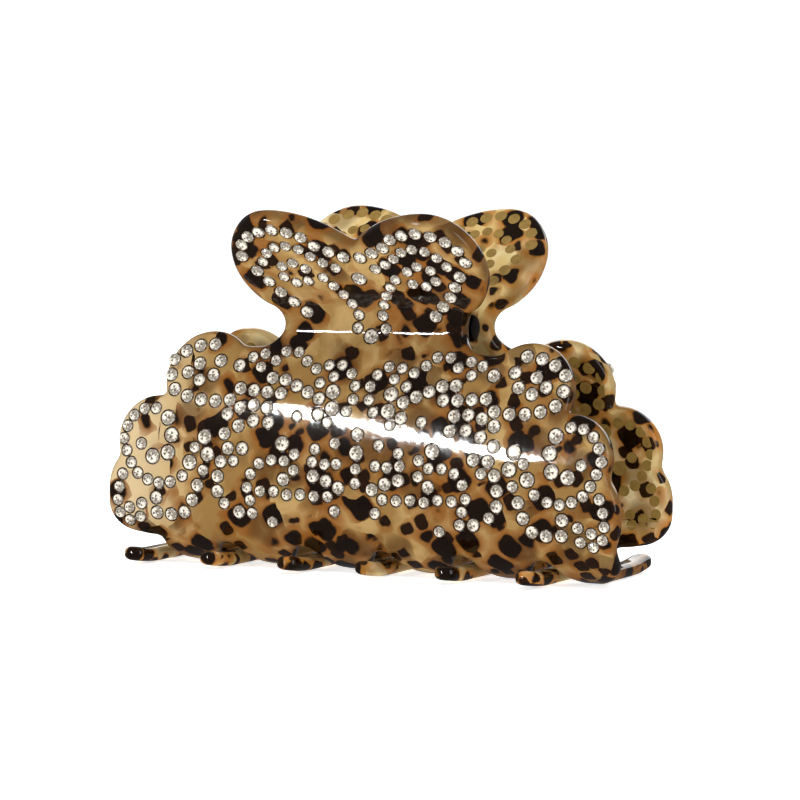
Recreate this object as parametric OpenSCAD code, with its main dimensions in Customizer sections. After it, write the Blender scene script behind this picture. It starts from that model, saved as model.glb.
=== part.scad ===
// Large hair claw clip: two identical heat-formed acetate jaws with interleaving
// curved teeth, hinged on a steel pin through glued lugs, closed by a torsion
// spring and set with round crystals that are pressed and glued into the sheet.
// Origin: centre of the standing footprint, on the plane under the teeth.
// +X along the hinge, -Y towards the front jaw, +Z towards the finger wings.

/* [Jaw plate] */
// Overall width of a jaw over its lowest lobes
jaw_w = 91; // [75:1:110]
// Height of the wing tops above the standing plane
jaw_h = 59; // [57:0.2:64]
// Thickness of the acetate sheet
sheet_t = 3.3; // [2.6:0.1:3.9]

/* [Side profile] */
// Distance from the clip's centre plane to the middle of the sheet at the belly
belly_y = 11.3; // [10.5:0.1:14]
// Height at which the belly is deepest
belly_z = 13.5; // [12.5:0.5:15]
// Bend radius of the belly, at the middle of the sheet
belly_r = 55; // [46:1:66]
// Inward lean of the sheet where the belly meets the neck, in degrees
neck_lean = 25.3; // [23:0.1:27]
// Bend radius of the neck fold, at the middle of the sheet
neck_r = 7; // [6:0.5:8.5]
// Outward lean of the finger wings from upright, in degrees
wing_lean = 40; // [33:1:44]
// Outside radius of the curl that turns the sheet into the teeth
curl_r = 10.2; // [8.5:0.1:11]

/* [Scalloped outline] */
// Radius of the shoulder lobe
shoulder_r = 7.8; // [6.5:0.1:9.4]
// How far the shoulder lobe stands in from the widest lobe
shoulder_inset = 9.2; // [8:0.1:11]
// Height of the shoulder lobe's centre
shoulder_z = 30.6; // [29:0.1:31.5]
// Radius of the middle lobe
middle_r = 7.2; // [6:0.1:8.6]
// How far the middle lobe stands in from the widest lobe
middle_inset = 1.6; // [1:0.1:3]
// Height of the middle lobe's centre
middle_z = 20.5; // [19:0.1:22]
// Radius of the lower lobe
lower_r = 8; // [7:0.1:9.6]
// Height of the lower lobe's centre
lower_z = 12.2; // [11.5:0.1:13]
// Radius of the lower lobe's bottom corner
corner_r = 5.5; // [4.6:0.1:6.6]
// Height of the lobe's free bottom edge
lobe_bottom = 4.6; // [4:0.1:5.5]

/* [Finger wings] */
// Half width of the neck below the wings
neck_half_w = 16.05; // [15.6:0.05:19.2]
// Radius of the round notch at each side of the neck
neck_notch_r = 3.85; // [3.2:0.05:4.6]
// Radius of a wing's outer end
wing_r = 8.5; // [7.1:0.1:9.5]
// Distance from the middle to a wing's outermost edge
wing_reach = 22.3; // [20.5:0.1:27]
// Radius of a wing's top edge near the middle
wing_top_r = 22; // [18:0.5:26.5]

/* [Teeth] */
// Number of teeth on each jaw
tooth_n = 6; // [5:1:6]
// Spacing of the teeth
tooth_pitch = 14; // [11.7:0.1:14.5]
// Width of a tooth
tooth_w = 3.8; // [3.2:0.1:4.8]
// Thickness of a tooth
tooth_t = 2.3; // [2:0.1:2.9]
// How far a tooth reaches past the clip's centre plane
tooth_reach = 17.5; // [15:0.5:21]
// Length of the rising tip of a tooth
tip_len = 8.5; // [7:0.5:10]
// Bend radius of the rising tip
tip_bend_r = 40; // [30:1:60]
// Gap that a slot leaves beside a tooth of the other jaw
slot_clear = 0.15; // [0.1:0.05:0.4]

/* [Hinge] */
// Height of the hinge axis above the standing plane
hinge_z = 40; // [39.2:0.1:40.8]
// Diameter of the hinge pin
pin_d = 2.4; // [2:0.1:2.6]
// Radial clearance of the pin in the lugs
pin_clear = 0.05; // [0.02:0.01:0.1]
// Outside diameter of a hinge lug
lug_d = 6.2; // [5.4:0.1:6.6]
// Width of a hinge lug along the pin
lug_w = 3.4; // [2.8:0.1:3.8]
// Gap between neighbouring lugs
lug_gap = 0.2; // [0.1:0.05:0.4]
// Distance from the middle to the face of the nearest lug
lug_from_mid = 7; // [6.8:0.1:7.4]
// Diameter of the caps on the pin's ends
cap_d = 4.6; // [4:0.1:5.2]
// Thickness of a pin cap
cap_t = 1.1; // [0.8:0.1:1.2]

/* [Spring] */
// Diameter of the spring wire
wire_d = 1.1; // [0.9:0.05:1.2]
// Number of fixed turns in the coil
turns = 7; // [6:1:8]
// Gap between neighbouring turns
turn_gap = 0.15; // [0.1:0.05:0.25]
// Wall of the sleeve between the pin and the coil
sleeve_wall = 0.4; // [0.3:0.05:0.5]
// Length of a spring leg from the hinge axis to its end
leg_len = 15; // [13:0.5:17]
// Gap between a leg and the wing that it pushes
leg_gap = 0.1; // [0.05:0.05:0.2]

/* [Crystals] */
// Diameter of the small crystals
small_d = 1.95; // [1.6:0.05:2.4]
// Diameter of the medium crystals
medium_d = 2.25; // [1.85:0.05:2.7]
// Diameter of the large crystals
large_d = 2.6; // [2.15:0.05:3.15]
// Depth that the crystals are seated into the sheet
seat_depth = 0.9; // [0.75:0.05:1.08]
// How far a crystal stands out of the sheet
crystal_proud = 0.45; // [0.35:0.05:0.55]
// Least gap between two neighbouring crystals
crystal_gap = 0.05; // [0.03:0.01:0.2]

/* [Hidden] */

$fn = 96;
big = 200;
half_t = sheet_t / 2;
half_w = jaw_w / 2;
// Width, height and wing reach that the crystal pattern was drawn for
drawn_w = 91;
drawn_h = 59;
drawn_reach = 22.3;

// Side profile, as distance out from the centre plane and height.
curl_z = curl_r;
belly_cy = belly_y - belly_r;
outer_belly = belly_y + half_t;
inner_belly = belly_y - half_t;
curl_cy = outer_belly - curl_r;
curl_in_r = curl_z - tooth_t;
curl_in_cy = inner_belly - curl_in_r;
neck_cy = belly_cy + (belly_r + neck_r) * cos(neck_lean);
neck_cz = belly_z + (belly_r + neck_r) * sin(neck_lean);
wing_y0 = neck_cy - neck_r * cos(wing_lean);
wing_z0 = neck_cz + neck_r * sin(wing_lean);
tip_y = tooth_reach - tip_len;
tip_bend = asin(tip_len / tip_bend_r);
// The profile runs past the wing's top, where the outline cuts it off
wing_over = 1.4;
wing_end = [wing_y0, wing_z0] + wing_over * (jaw_h - wing_z0) * [sin(wing_lean), cos(wing_lean)];
// Steps of the profile's bends
bend_steps = 14;
curl_steps = 18;
tip_steps = 6;

// Front outline.
shoulder_x = half_w - shoulder_inset - shoulder_r;
// Point under the shoulder's circle where the plate's straight top edge starts
shoulder_foot_x = shoulder_x - 0.7 * shoulder_r;
middle_x = half_w - middle_inset - middle_r;
lower_x = half_w - lower_r;
corner_x = half_w - corner_r;
corner_z = lobe_bottom + corner_r;
notch_x = neck_half_w + neck_notch_r;
wing_x = wing_reach - wing_r;
wing_z = jaw_h - wing_r;
// Where the straight edge between the wing and the notch touches each of them
wing_to_notch = [notch_x - wing_x, neck_cz - wing_z];
edge_turn = acos(min(1, (wing_r + neck_notch_r) / norm(wing_to_notch)));
edge_angle = atan2(wing_to_notch[1], wing_to_notch[0]) + edge_turn;
edge_dir = [cos(edge_angle), sin(edge_angle)];

// Teeth of the front jaw stand half a pitch right of the rear jaw's.
first_tooth_x = -(tooth_n - 1) / 2 * tooth_pitch + tooth_pitch / 4;
last_tooth_x = first_tooth_x + (tooth_n - 1) * tooth_pitch;
slot_half = (tooth_pitch - tooth_w) / 2;
// Radius of a tooth's end, a little over half its width
tip_r = 0.55 * tooth_w;
slot_r = tooth_w / 2 + slot_clear;
// Heights along the plane at 45 degrees to the curl, from its axis
slot_mid_v = -1.65;
tooth_full_v = -0.63 * curl_r;
// The first tooth's root spreads until it is this far from the other jaw's tooth
root_clear = 0.2;
root_flare = tooth_pitch / 2 - tooth_w - root_clear;
end_flare = 4;

// Hinge.
bore_d = pin_d + 2 * pin_clear;
inner_lug_x = lug_from_mid + lug_w / 2;
outer_lug_x = inner_lug_x + lug_w + lug_gap;
pin_half = outer_lug_x + lug_w / 2 + lug_gap;

// Spring.
sleeve_d = pin_d + 2 * pin_clear + 2 * sleeve_wall;
coil_r = sleeve_d / 2 + turn_gap / 2 + wire_d / 2;
turn_pitch = wire_d + turn_gap;
leg_x = (turns + 1.5) * turn_pitch / 2;
coil_steps = 20;
rear_turn = 300;
wire_sides = 8;
// Distance from the hinge axis to the line that a leg's end keeps to, along the wing
leg_off = wing_y0 * cos(wing_lean) - (wing_z0 - hinge_z) * sin(wing_lean) - half_t - leg_gap - wire_d / 2;
leg_lean = wing_lean + asin(leg_off / norm([leg_len, coil_r])) + atan2(coil_r, leg_len);

// Height of a crystal's girdle above the sheet, and its flat table's share of its width
girdle_h = crystal_proud / 3;
table_share = 0.6;

// Crystal rows on the right half, each [diameter, spacing, points]: the points
// are [distance from the middle, height] and the row follows them.
LARGE = large_d;
MEDIUM = medium_d;
SMALL = small_d;
rows = [
    // wing: border, inner border, eye, antenna
    [MEDIUM, 2.7, [[1.5, 51.5], [5.8, 53], [8.4, 55], [12.5, 55.7], [16.3, 55.1], [18.9, 53.6], [19.8, 51.2]]],
    [MEDIUM, 2.7, [[18, 48.8], [15.2, 45.4], [11.5, 42.1]]],
    [SMALL, 2.2, [[1.4, 49.2], [3, 49.5], [5.2, 50.3], [7.4, 51.5], [9.6, 52.9], [12, 53.2], [14.6, 52.4], [16.3, 50.4]]],
    [SMALL, 2.15, [[9, 49.4], [11, 50.3], [13.2, 49.7], [13.5, 47.9], [11.4, 47], [9.3, 47.4]]],
    [SMALL, 2.2, [[6.4, 48], [5, 46.6], [3.7, 45.1], [2.7, 43.5], [2.1, 41.8], [2.5, 39.8]]],
    // shoulder lobe: border, run to the middle and the hook inside
    [MEDIUM, 2.6, [[27.9, 36.3], [31.4, 35.9], [34.9, 34], [35.1, 31.4], [34, 28.8], [31.6, 27.8], [29, 27.3], [26.2, 27.2], [23.6, 27.5]]],
    [MEDIUM, 2.6, [[26.3, 33.7], [27.3, 31.3], [29.9, 30.4], [32.1, 31.7], [30.1, 33.1]]],
    // middle lobe: border and its inner hook
    [LARGE, 2.8, [[37, 17.7], [34.2, 18.4], [33.7, 21.3], [34.6, 24.1]]],
    [SMALL, 2.25, [[37, 25.6], [39.2, 25.4], [41.2, 24.1], [42.1, 22.3], [42.6, 20], [41.5, 17.7], [40.4, 15.4], [38.7, 14.1], [36, 13.3], [33.6, 13.6]]],
    [SMALL, 4, [[35.8, 20.6], [39.2, 19.7]]],
    [SMALL, 2.2, [[38.9, 17.6]]],
    // lower lobe: border, flower and inner sweep
    [SMALL, 2.2, [[42.5, 14.5], [43.2, 12.1], [43.4, 9.9], [43, 7.8], [41.3, 6.8], [39.3, 7.5]]],
    [SMALL, 2.2, [[41.2, 9], [40.9, 11], [38.9, 9.8]]],
    [MEDIUM, 2.6, [[36.2, 10.9], [36.2, 8.4], [33.7, 8.2], [31.4, 8.3], [29.8, 10.1], [28.6, 13.3]]],
    // upper middle of the jaw
    [SMALL, 2.15, [[4.2, 33.8], [6.4, 33.7], [8.8, 33], [10.8, 34.3], [12.4, 35.6], [14.6, 35.7], [16.3, 34.1]]],
    [SMALL, 2.2, [[18.4, 35.1], [20.5, 34.5]]],
    [MEDIUM, 2.6, [[22.7, 33.1]]],
    [SMALL, 2.2, [[18.8, 33]]],
    [SMALL, 2.15, [[2.3, 32.5], [1.3, 30.5], [1.4, 28.4], [2.4, 26.5]]],
    [SMALL, 2.2, [[5.4, 31.9]]],
    [SMALL, 2.2, [[7.7, 30.8]]],
    [LARGE, 2.8, [[5.2, 29.5], [5, 26.8]]],
    [MEDIUM, 2.5, [[7.5, 28.3], [9.8, 29.3], [11.9, 30.2], [14, 31.1], [16.4, 31.3], [18.7, 31], [20.9, 31.9]]],
    [MEDIUM, 2.5, [[7.4, 25.8], [9.3, 24.9]]],
    [SMALL, 2.2, [[11.1, 25.3]]],
    [SMALL, 2.2, [[5.6, 24.6]]],
    [SMALL, 2.2, [[3.9, 21.3]]],
    [MEDIUM, 2.5, [[14.5, 28.9], [17, 29], [19.5, 29.2], [21.9, 29.4]]],
    [MEDIUM, 2.5, [[16.7, 26.5], [19.2, 26.8], [21.6, 26.3], [23.8, 25.2]]],
    [MEDIUM, 2.5, [[16.2, 24.1], [18.9, 24.3], [21.5, 23.4], [24, 22]]],
    [MEDIUM, 2.4, [[19.9, 22]]],
    [MEDIUM, 2.4, [[20.6, 19.7], [23.2, 19.6]]],
    [LARGE, 3, [[25.8, 23.6], [27.6, 21.3]]],
    [SMALL, 2.2, [[29.3, 19.5]]],
    [LARGE, 3, [[26.9, 18.5], [30.1, 17]]],
    [MEDIUM, 2.5, [[24.4, 17.4], [24.9, 15], [24.9, 12.5]]],
    [SMALL, 2.2, [[22.1, 17.6]]],
    [SMALL, 2.6, [[27.6, 15.8]]],
    [SMALL, 2.6, [[31.4, 14.7]]],
    [SMALL, 2.2, [[23.6, 10.6]]],
    // feathers above the teeth
    [LARGE, 3, [[2.9, 22.7]]],
    [SMALL, 2.15, [[2.9, 20.1], [3.5, 17.8], [5.7, 17.8], [7.9, 18.1], [7.4, 20.3], [5.3, 20.1]]],
    [MEDIUM, 2.5, [[7.6, 15.8], [5.2, 15.1], [3, 14.1]]],
    [SMALL, 2.35, [[2.5, 12.1], [4.8, 12.6], [7.1, 12.5], [9.6, 12.7], [12.1, 12.5], [14.8, 13], [17.1, 12.9], [19.5, 13.4]]],
    [SMALL, 2.2, [[3.6, 10.3]]],
    [MEDIUM, 2.4, [[10.6, 14.6], [12.9, 15]]],
    [SMALL, 2.2, [[12.9, 18], [15.1, 18.1], [17.4, 17.4], [18.9, 15.6]]],
    [LARGE, 3, [[16.4, 15.3]]],
    [LARGE, 3, [[13.4, 20.8]]],
    [SMALL, 2.2, [[11.1, 19.2]]],
    [SMALL, 2.2, [[11.1, 16.6]]],
    [SMALL, 2.2, [[18.9, 11.3]]],
    [SMALL, 2.2, [[18.5, 9.2]]],
    [MEDIUM, 2.4, [[20.9, 9.3]]],
    [SMALL, 2.2, [[16.7, 8.8]]],
    [SMALL, 2.2, [[14.9, 7.9]]]
];
// Crystals on the middle line, each [diameter, height]
middle_line = [[LARGE, 48], [LARGE, 38.5], [MEDIUM, 22.9], [LARGE, 19.9], [SMALL, 17.3], [SMALL, 15]];

// Height at which the neck fold starts and ends on the outside of the sheet
fold_z0 = neck_cz - (neck_r - half_t) * sin(neck_lean);
fold_z1 = neck_cz + (neck_r - half_t) * sin(wing_lean);

// Distance of the outside of the sheet from the centre plane at a height.
function skin_y(z) =
    z < curl_z ? curl_cy + sqrt(curl_r * curl_r - pow(curl_z - z, 2)) :
    z < belly_z ? outer_belly :
    z < fold_z0 ? belly_cy + sqrt(pow(belly_r + half_t, 2) - pow(z - belly_z, 2)) :
    z < fold_z1 ? neck_cy - sqrt(pow(neck_r - half_t, 2) - pow(z - neck_cz, 2)) :
    wing_y0 + half_t / cos(wing_lean) + (z - wing_z0) * tan(wing_lean);

// Upward tilt of the outside of the sheet at a height.
function skin_tilt(z) =
    z < curl_z ? -asin((curl_z - z) / curl_r) :
    z < belly_z ? 0 :
    z < fold_z0 ? asin((z - belly_z) / (belly_r + half_t)) :
    z < fold_z1 ? asin((neck_cz - z) / (neck_r - half_t)) :
    -wing_lean;

// Points spaced evenly along a row of points.
function run(p, i) = i < 1 ? 0 : run(p, i - 1) + norm(p[i] - p[i - 1]);
function at(p, s, i = 1) =
    len(p) < 2 ? p[0] :
    i >= len(p) - 1 || s <= norm(p[i] - p[i - 1]) ?
        p[i - 1] + (p[i] - p[i - 1]) * s / norm(p[i] - p[i - 1]) :
        at(p, s - norm(p[i] - p[i - 1]), i + 1);
function walk(row) =
    let(
        p = [for (q = row[2]) on_skin(q)],
        length = run(p, len(p) - 1),
        n = min(round(length / row[1]), floor(length / (row[0] + crystal_gap) + 0.01))
    )
    [for (k = [0:n]) [row[0], at(p, n == 0 ? 0 : k * length / n)]];

// A drawn point on the outside of the jaw, fitted to the plate's width, or above
// the neck to the wing's own reach and height.
function on_skin(q) =
    let(
        on_wing = q[1] > neck_cz,
        x = q[0] * (on_wing ? wing_reach / drawn_reach : jaw_w / drawn_w),
        z = on_wing ? neck_cz + (q[1] - neck_cz) * (jaw_h - neck_cz) / (drawn_h - neck_cz) : q[1]
    )
    [x, -skin_y(z), z];

// Crystals kept from a list, leaving out any that would cut into one before it.
function clear_of(c, kept) =
    len([for (k = kept) if (norm(k[1] - c[1]) < (k[0] + c[0]) / 2 + crystal_gap) 1]) == 0;
function thin_out(all, i = 0, kept = []) =
    i == len(all) ? kept :
    thin_out(all, i + 1, clear_of(all[i], kept) ? concat(kept, [all[i]]) : kept);

drawn = concat(
    [for (m = middle_line) [m[0], on_skin([0, m[1]])]],
    [for (row = rows) for (c = walk(row)) if (c[1][0] > (c[0] + crystal_gap) / 2) c]
);
half_set = thin_out(drawn);
crystals = concat(half_set, [for (c = half_set) if (c[1][0] > 0.01) [c[0], [-c[1][0], c[1][1], c[1][2]]]]);

// Points along an arc, ends included.
function arc(c, r, a0, a1, n) = [for (i = [0:n]) c + r * [cos(a0 + (a1 - a0) * i / n), sin(a0 + (a1 - a0) * i / n)]];

// One side of the bent sheet from the wing's top to the curl, off the middle by o.
function sheet_side(o) = concat(
    [wing_end + o * [cos(wing_lean), -sin(wing_lean)]],
    arc([neck_cy, neck_cz], neck_r - o, 180 - wing_lean, 180 + neck_lean, bend_steps),
    arc([belly_cy, belly_z], belly_r + o, neck_lean, 0, bend_steps)
);

// The bent sheet seen from its end: out from the centre plane, and up.
module side_profile() {
    tip_c = [-tip_y, tooth_t / 2 + tip_bend_r];
    outside = concat(
        sheet_side(half_t),
        arc([curl_cy, curl_z], curl_r, 0, -90, curl_steps),
        arc(tip_c, tip_bend_r + tooth_t / 2, 270, 270 - tip_bend, tip_steps)
    );
    inside = concat(
        sheet_side(-half_t),
        arc([curl_in_cy, curl_z], curl_in_r, 0, -90, curl_steps),
        arc(tip_c, tip_bend_r - tooth_t / 2, 270, 270 - tip_bend, tip_steps)
    );
    polygon(concat(outside, [for (i = [len(inside) - 1:-1:0]) inside[i]]));
}

// Right half of the scalloped plate with its wing, seen from the front.
module half_outline() {
    translate([shoulder_x, shoulder_z])
        circle(r = shoulder_r);
    translate([middle_x, middle_z])
        circle(r = middle_r);
    translate([lower_x, lower_z])
        circle(r = lower_r);
    translate([corner_x, corner_z])
        circle(r = corner_r);
    translate([wing_x, wing_z])
        circle(r = wing_r);
    intersection() {
        translate([wing_x, jaw_h - wing_top_r])
            circle(r = wing_top_r);
        translate([0, wing_z])
            square([wing_x, big]);
    }
    difference() {
        polygon([
            [0, lobe_bottom],
            [corner_x, lobe_bottom],
            [lower_x, middle_z],
            [middle_x, middle_z],
            [shoulder_x + shoulder_r / 2, shoulder_z],
            [shoulder_foot_x, neck_cz - neck_notch_r],
            [notch_x, neck_cz - neck_notch_r],
            [neck_half_w, neck_cz],
            [notch_x, neck_cz] - neck_notch_r * edge_dir,
            [wing_x, wing_z] + wing_r * edge_dir,
            [wing_x, wing_z],
            [0, wing_z]
        ]);
        translate([notch_x, neck_cz])
            circle(r = neck_notch_r);
    }
}

module outline() {
    half_outline();
    mirror([1, 0])
        half_outline();
    translate([first_tooth_x - tooth_w / 2 - root_flare, -1])
        square([last_tooth_x - first_tooth_x + tooth_w + root_flare + end_flare, corner_z]);
}

// Slot between two teeth, seen square to the middle of the curl.
module slot() {
    polygon([
        [-slot_half, -big / 2],
        [-slot_half, tooth_full_v],
        [-slot_r, slot_mid_v],
        [slot_r, slot_mid_v],
        [slot_half, tooth_full_v],
        [slot_half, -big / 2]
    ]);
    translate([0, slot_mid_v])
        circle(r = slot_r);
}

// Everything that is cut away between and beside the teeth.
module slots() {
    for (i = [0:tooth_n - 2])
        translate([first_tooth_x + (i + 0.5) * tooth_pitch, 0])
            slot();
    polygon([
        [-big / 2, -big / 2],
        [first_tooth_x - tooth_w / 2, -big / 2],
        [first_tooth_x - tooth_w / 2, tooth_full_v],
        [first_tooth_x - tooth_w / 2 - root_flare, slot_mid_v],
        [-big / 2, slot_mid_v]
    ]);
    polygon([
        [big / 2, -big / 2],
        [last_tooth_x + tooth_w / 2, -big / 2],
        [last_tooth_x + tooth_w / 2, tooth_full_v],
        [last_tooth_x + tooth_w / 2 + end_flare, slot_mid_v],
        [big / 2, slot_mid_v]
    ]);
}

// The jaw seen from above, with the round ends of the teeth.
module plan() {
    translate([-big / 2, -big / 2])
        square([big, big / 2 + tooth_reach - tip_r]);
    for (i = [0:tooth_n - 1])
        translate([first_tooth_x + i * tooth_pitch, tooth_reach - tip_r])
            circle(r = tip_r);
}

// One crystal's place: +Z of the child points out of the sheet.
module at_crystal(c) {
    translate(c[1])
        rotate([90 - skin_tilt(c[1][2]), 0, 0])
            children();
}

module jaw() {
    difference() {
        intersection() {
            rotate([90, 0, -90])
                linear_extrude(height = jaw_w + 2, center = true)
                    side_profile();
            rotate([90, 0, 0])
                linear_extrude(height = big, center = true)
                    outline();
            translate([0, 0, -1])
                linear_extrude(height = big)
                    plan();
        }
        translate([0, -curl_cy, curl_z])
            rotate([135, 0, 0])
                linear_extrude(height = big, center = true)
                    slots();
    }
}

// Crystals of one diameter on the front jaw.
module crystal_set(d) {
    for (c = crystals)
        if (c[0] == d)
            at_crystal(c) {
                translate([0, 0, -seat_depth])
                    cylinder(h = seat_depth + girdle_h, d = d, $fn = 24);
                translate([0, 0, girdle_h])
                    cylinder(h = crystal_proud - girdle_h, d1 = d, d2 = table_share * d, $fn = 24);
            }
}

module rear() {
    rotate([0, 0, 180])
        children();
}

// A lug centred at x, glued flush to the inside of the neck.
module lug(x) {
    translate([x, 0, 0])
        rotate([90, 0, -90])
            linear_extrude(height = lug_w, center = true)
                difference() {
                    union() {
                        translate([0, hinge_z])
                            circle(d = lug_d);
                        translate([0, hinge_z - lug_d / 2])
                            square([neck_cy - neck_r, lug_d]);
                    }
                    translate([0, hinge_z])
                        circle(d = bore_d);
                    side_profile();
                }
}

// Round wire swept along a path of points.
module wire(path) {
    n = len(path);
    polyhedron(
        points = [
            for (i = [0:n - 1])
                let(
                    t = path[min(i + 1, n - 1)] - path[max(i - 1, 0)],
                    w = t / norm(t),
                    u0 = cross(w, abs(w[0]) > 0.9 ? [0, 1, 0] : [1, 0, 0]),
                    u = u0 / norm(u0),
                    v = cross(w, u)
                )
                for (k = [0:wire_sides - 1])
                    path[i] + wire_d / 2 * (cos(k * 360 / wire_sides) * u + sin(k * 360 / wire_sides) * v)
        ],
        faces = concat(
            [[for (k = [0:wire_sides - 1]) k]],
            [for (i = [0:n - 2]) for (k = [0:wire_sides - 1])
                let(a = i * wire_sides + k, b = i * wire_sides + (k + 1) % wire_sides)
                [a, a + wire_sides, b + wire_sides, b]],
            [[for (k = [wire_sides - 1:-1:0]) (n - 1) * wire_sides + k]]
        )
    );
}

module front_jaw() {
    color("peru")
        jaw();
}
module rear_jaw() {
    color("burlywood")
        rear() jaw();
}
module front_lug_left() {
    color("tan")
        lug(-outer_lug_x);
}
module front_lug_right() {
    color("tan")
        lug(inner_lug_x);
}
module rear_lug_left() {
    color("wheat")
        rear() lug(inner_lug_x);
}
module rear_lug_right() {
    color("wheat")
        rear() lug(-outer_lug_x);
}
module hinge_pin() {
    color("silver")
        translate([0, 0, hinge_z])
            rotate([0, 90, 0])
                cylinder(h = 2 * pin_half, d = pin_d, center = true);
}
module pin_cap() {
    translate([pin_half, 0, hinge_z])
        rotate([0, 90, 0])
            cylinder(h = cap_t, d = cap_d);
}
module pin_cap_left() {
    color("gainsboro")
        mirror([1, 0, 0]) pin_cap();
}
module pin_cap_right() {
    color("gainsboro")
        pin_cap();
}

module spring_sleeve() {
    color("ivory")
        translate([0, 0, hinge_z])
            rotate([0, 90, 0])
                difference() {
                    cylinder(h = 2 * (lug_from_mid - lug_gap), d = sleeve_d, center = true);
                    cylinder(h = big, d = bore_d, center = true);
                }
}

// A point of the spring's coil.
function coil_point(x, a) = [x, coil_r * cos(a), hinge_z + coil_r * sin(a)];

// The spring's front leg and its fixed turns.
module torsion_spring() {
    steps = turns * coil_steps;
    foot = coil_point(-leg_x, leg_lean);
    color("lightsteelblue")
        wire(concat(
            [foot + leg_len * [0, -sin(leg_lean), cos(leg_lean)]],
            [for (i = [0:steps]) coil_point(-leg_x + i * turn_pitch / coil_steps, leg_lean - i * 360 / coil_steps)]
        ));
}

// The spring's last turn and its rear leg, which swing with the rear jaw.
module spring_rear_leg() {
    steps = coil_steps - 3;
    last = 180 - leg_lean;
    color("lightsteelblue")
        wire(concat(
            [for (i = [0:steps]) coil_point(leg_x - (steps - i) / steps * turn_gap, last + rear_turn * (1 - i / steps))],
            [coil_point(leg_x, last) + leg_len * [0, sin(leg_lean), cos(leg_lean)]]
        ));
}
module front_crystals_small() {
    color("white")
        crystal_set(SMALL);
}
module front_crystals_medium() {
    color("white")
        crystal_set(MEDIUM);
}
module front_crystals_large() {
    color("white")
        crystal_set(LARGE);
}
module rear_crystals_small() {
    color("white")
        rear() crystal_set(SMALL);
}
module rear_crystals_medium() {
    color("white")
        rear() crystal_set(MEDIUM);
}
module rear_crystals_large() {
    color("white")
        rear() crystal_set(LARGE);
}

front_jaw();
rear_jaw();
front_lug_left();
front_lug_right();
rear_lug_left();
rear_lug_right();
hinge_pin();
pin_cap_left();
pin_cap_right();
spring_sleeve();
torsion_spring();
spring_rear_leg();
front_crystals_small();
front_crystals_medium();
front_crystals_large();
rear_crystals_small();
rear_crystals_medium();
rear_crystals_large();
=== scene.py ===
# %% [markdown]
# # A tortoise acetate claw clip set with crystals
# The real clip is two equal jaws cut from a flat sheet of cellulose acetate, tumbled until their edges are
# round and bent hot over a former. They turn on a steel pin, a torsion spring holds them shut, and hundreds
# of small faceted crystals sit in drilled pockets. The CAD model gives the places and sizes. This lesson
# makes each jaw the way that the maker does, as a flat plate that gets its round edges first and its bends
# afterwards.

# %% Load the frame
import random
from math import acos, asin, atan2, ceil, cos, hypot, pi, radians, sin, sqrt

import bpy
import numpy as np
from mathutils import Matrix, Vector


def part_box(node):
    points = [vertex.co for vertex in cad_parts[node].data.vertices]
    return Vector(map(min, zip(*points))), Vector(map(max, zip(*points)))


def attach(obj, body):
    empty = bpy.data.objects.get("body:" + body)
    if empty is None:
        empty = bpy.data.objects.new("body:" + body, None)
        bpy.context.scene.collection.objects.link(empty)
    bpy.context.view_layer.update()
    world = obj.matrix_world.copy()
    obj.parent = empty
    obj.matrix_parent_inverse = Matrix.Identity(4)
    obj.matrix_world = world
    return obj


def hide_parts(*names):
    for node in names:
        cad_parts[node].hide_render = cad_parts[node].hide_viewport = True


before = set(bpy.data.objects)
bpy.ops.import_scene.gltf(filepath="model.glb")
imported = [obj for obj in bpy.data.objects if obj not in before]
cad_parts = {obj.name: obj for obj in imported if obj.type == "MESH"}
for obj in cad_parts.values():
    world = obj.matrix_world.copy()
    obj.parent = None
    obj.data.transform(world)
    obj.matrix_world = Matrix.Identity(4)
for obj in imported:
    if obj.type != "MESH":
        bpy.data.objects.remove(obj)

MM = 0.001
bpy.context.view_layer.update()

# %% [markdown]
# ## Small helpers
# Operators act on everything that is selected, and the frame's nodes are selected after loading. So each
# step begins by deselecting all and naming the one object that it works on. Colours are written as the hex
# values that a painter would pick on a screen, and one function turns them to the linear values that
# Blender calculates with.

# %% Helpers for objects
def only(piece):
    """Selects one object and makes it the active one."""
    bpy.ops.object.select_all(action="DESELECT")
    piece.select_set(True)
    bpy.context.view_layer.objects.active = piece
    return piece


def new_piece(name):
    """Names the object that an operator has just added."""
    piece = bpy.context.active_object
    piece.name = piece.data.name = name
    return piece


def set_places(piece, places):
    """Moves the vertices of a piece to new places."""
    piece.data.vertices.foreach_set("co", np.asarray(places, np.float32).ravel())
    piece.data.update()


def get_places(piece):
    """The places of a piece's vertices, as rows of x, y and z."""
    places = np.zeros(len(piece.data.vertices) * 3, np.float32)
    piece.data.vertices.foreach_get("co", places)
    return places.reshape(-1, 3).astype(float)


def apply_modifier(piece, kind, **settings):
    """Adds a modifier with its settings and applies it."""
    only(piece)
    modifier = piece.modifiers.new("step", kind)
    for key, value in settings.items():
        setattr(modifier, key, value)
    bpy.ops.object.modifier_apply(modifier=modifier.name)


def faces_out(piece):
    """Merges doubled vertices and turns all faces outwards."""
    only(piece)
    bpy.ops.object.mode_set(mode="EDIT")
    bpy.ops.mesh.select_all(action="SELECT")
    bpy.ops.mesh.remove_doubles(threshold=0.002 * MM)
    bpy.ops.mesh.normals_make_consistent(inside=False)
    bpy.ops.object.mode_set(mode="OBJECT")


def smooth(piece, angle=40):
    """Shades a piece smooth except at edges sharper than the angle."""
    only(piece)
    bpy.ops.object.shade_smooth_by_angle(angle=radians(angle))


def copy_of(piece, name, turn=Matrix.Identity(4)):
    """A copy with its own mesh, turned in its mesh so that the object stays at the origin."""
    other = piece.copy()
    other.data = piece.data.copy()
    other.name = other.data.name = name
    other.data.transform(turn)
    bpy.context.scene.collection.objects.link(other)
    return other


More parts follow.
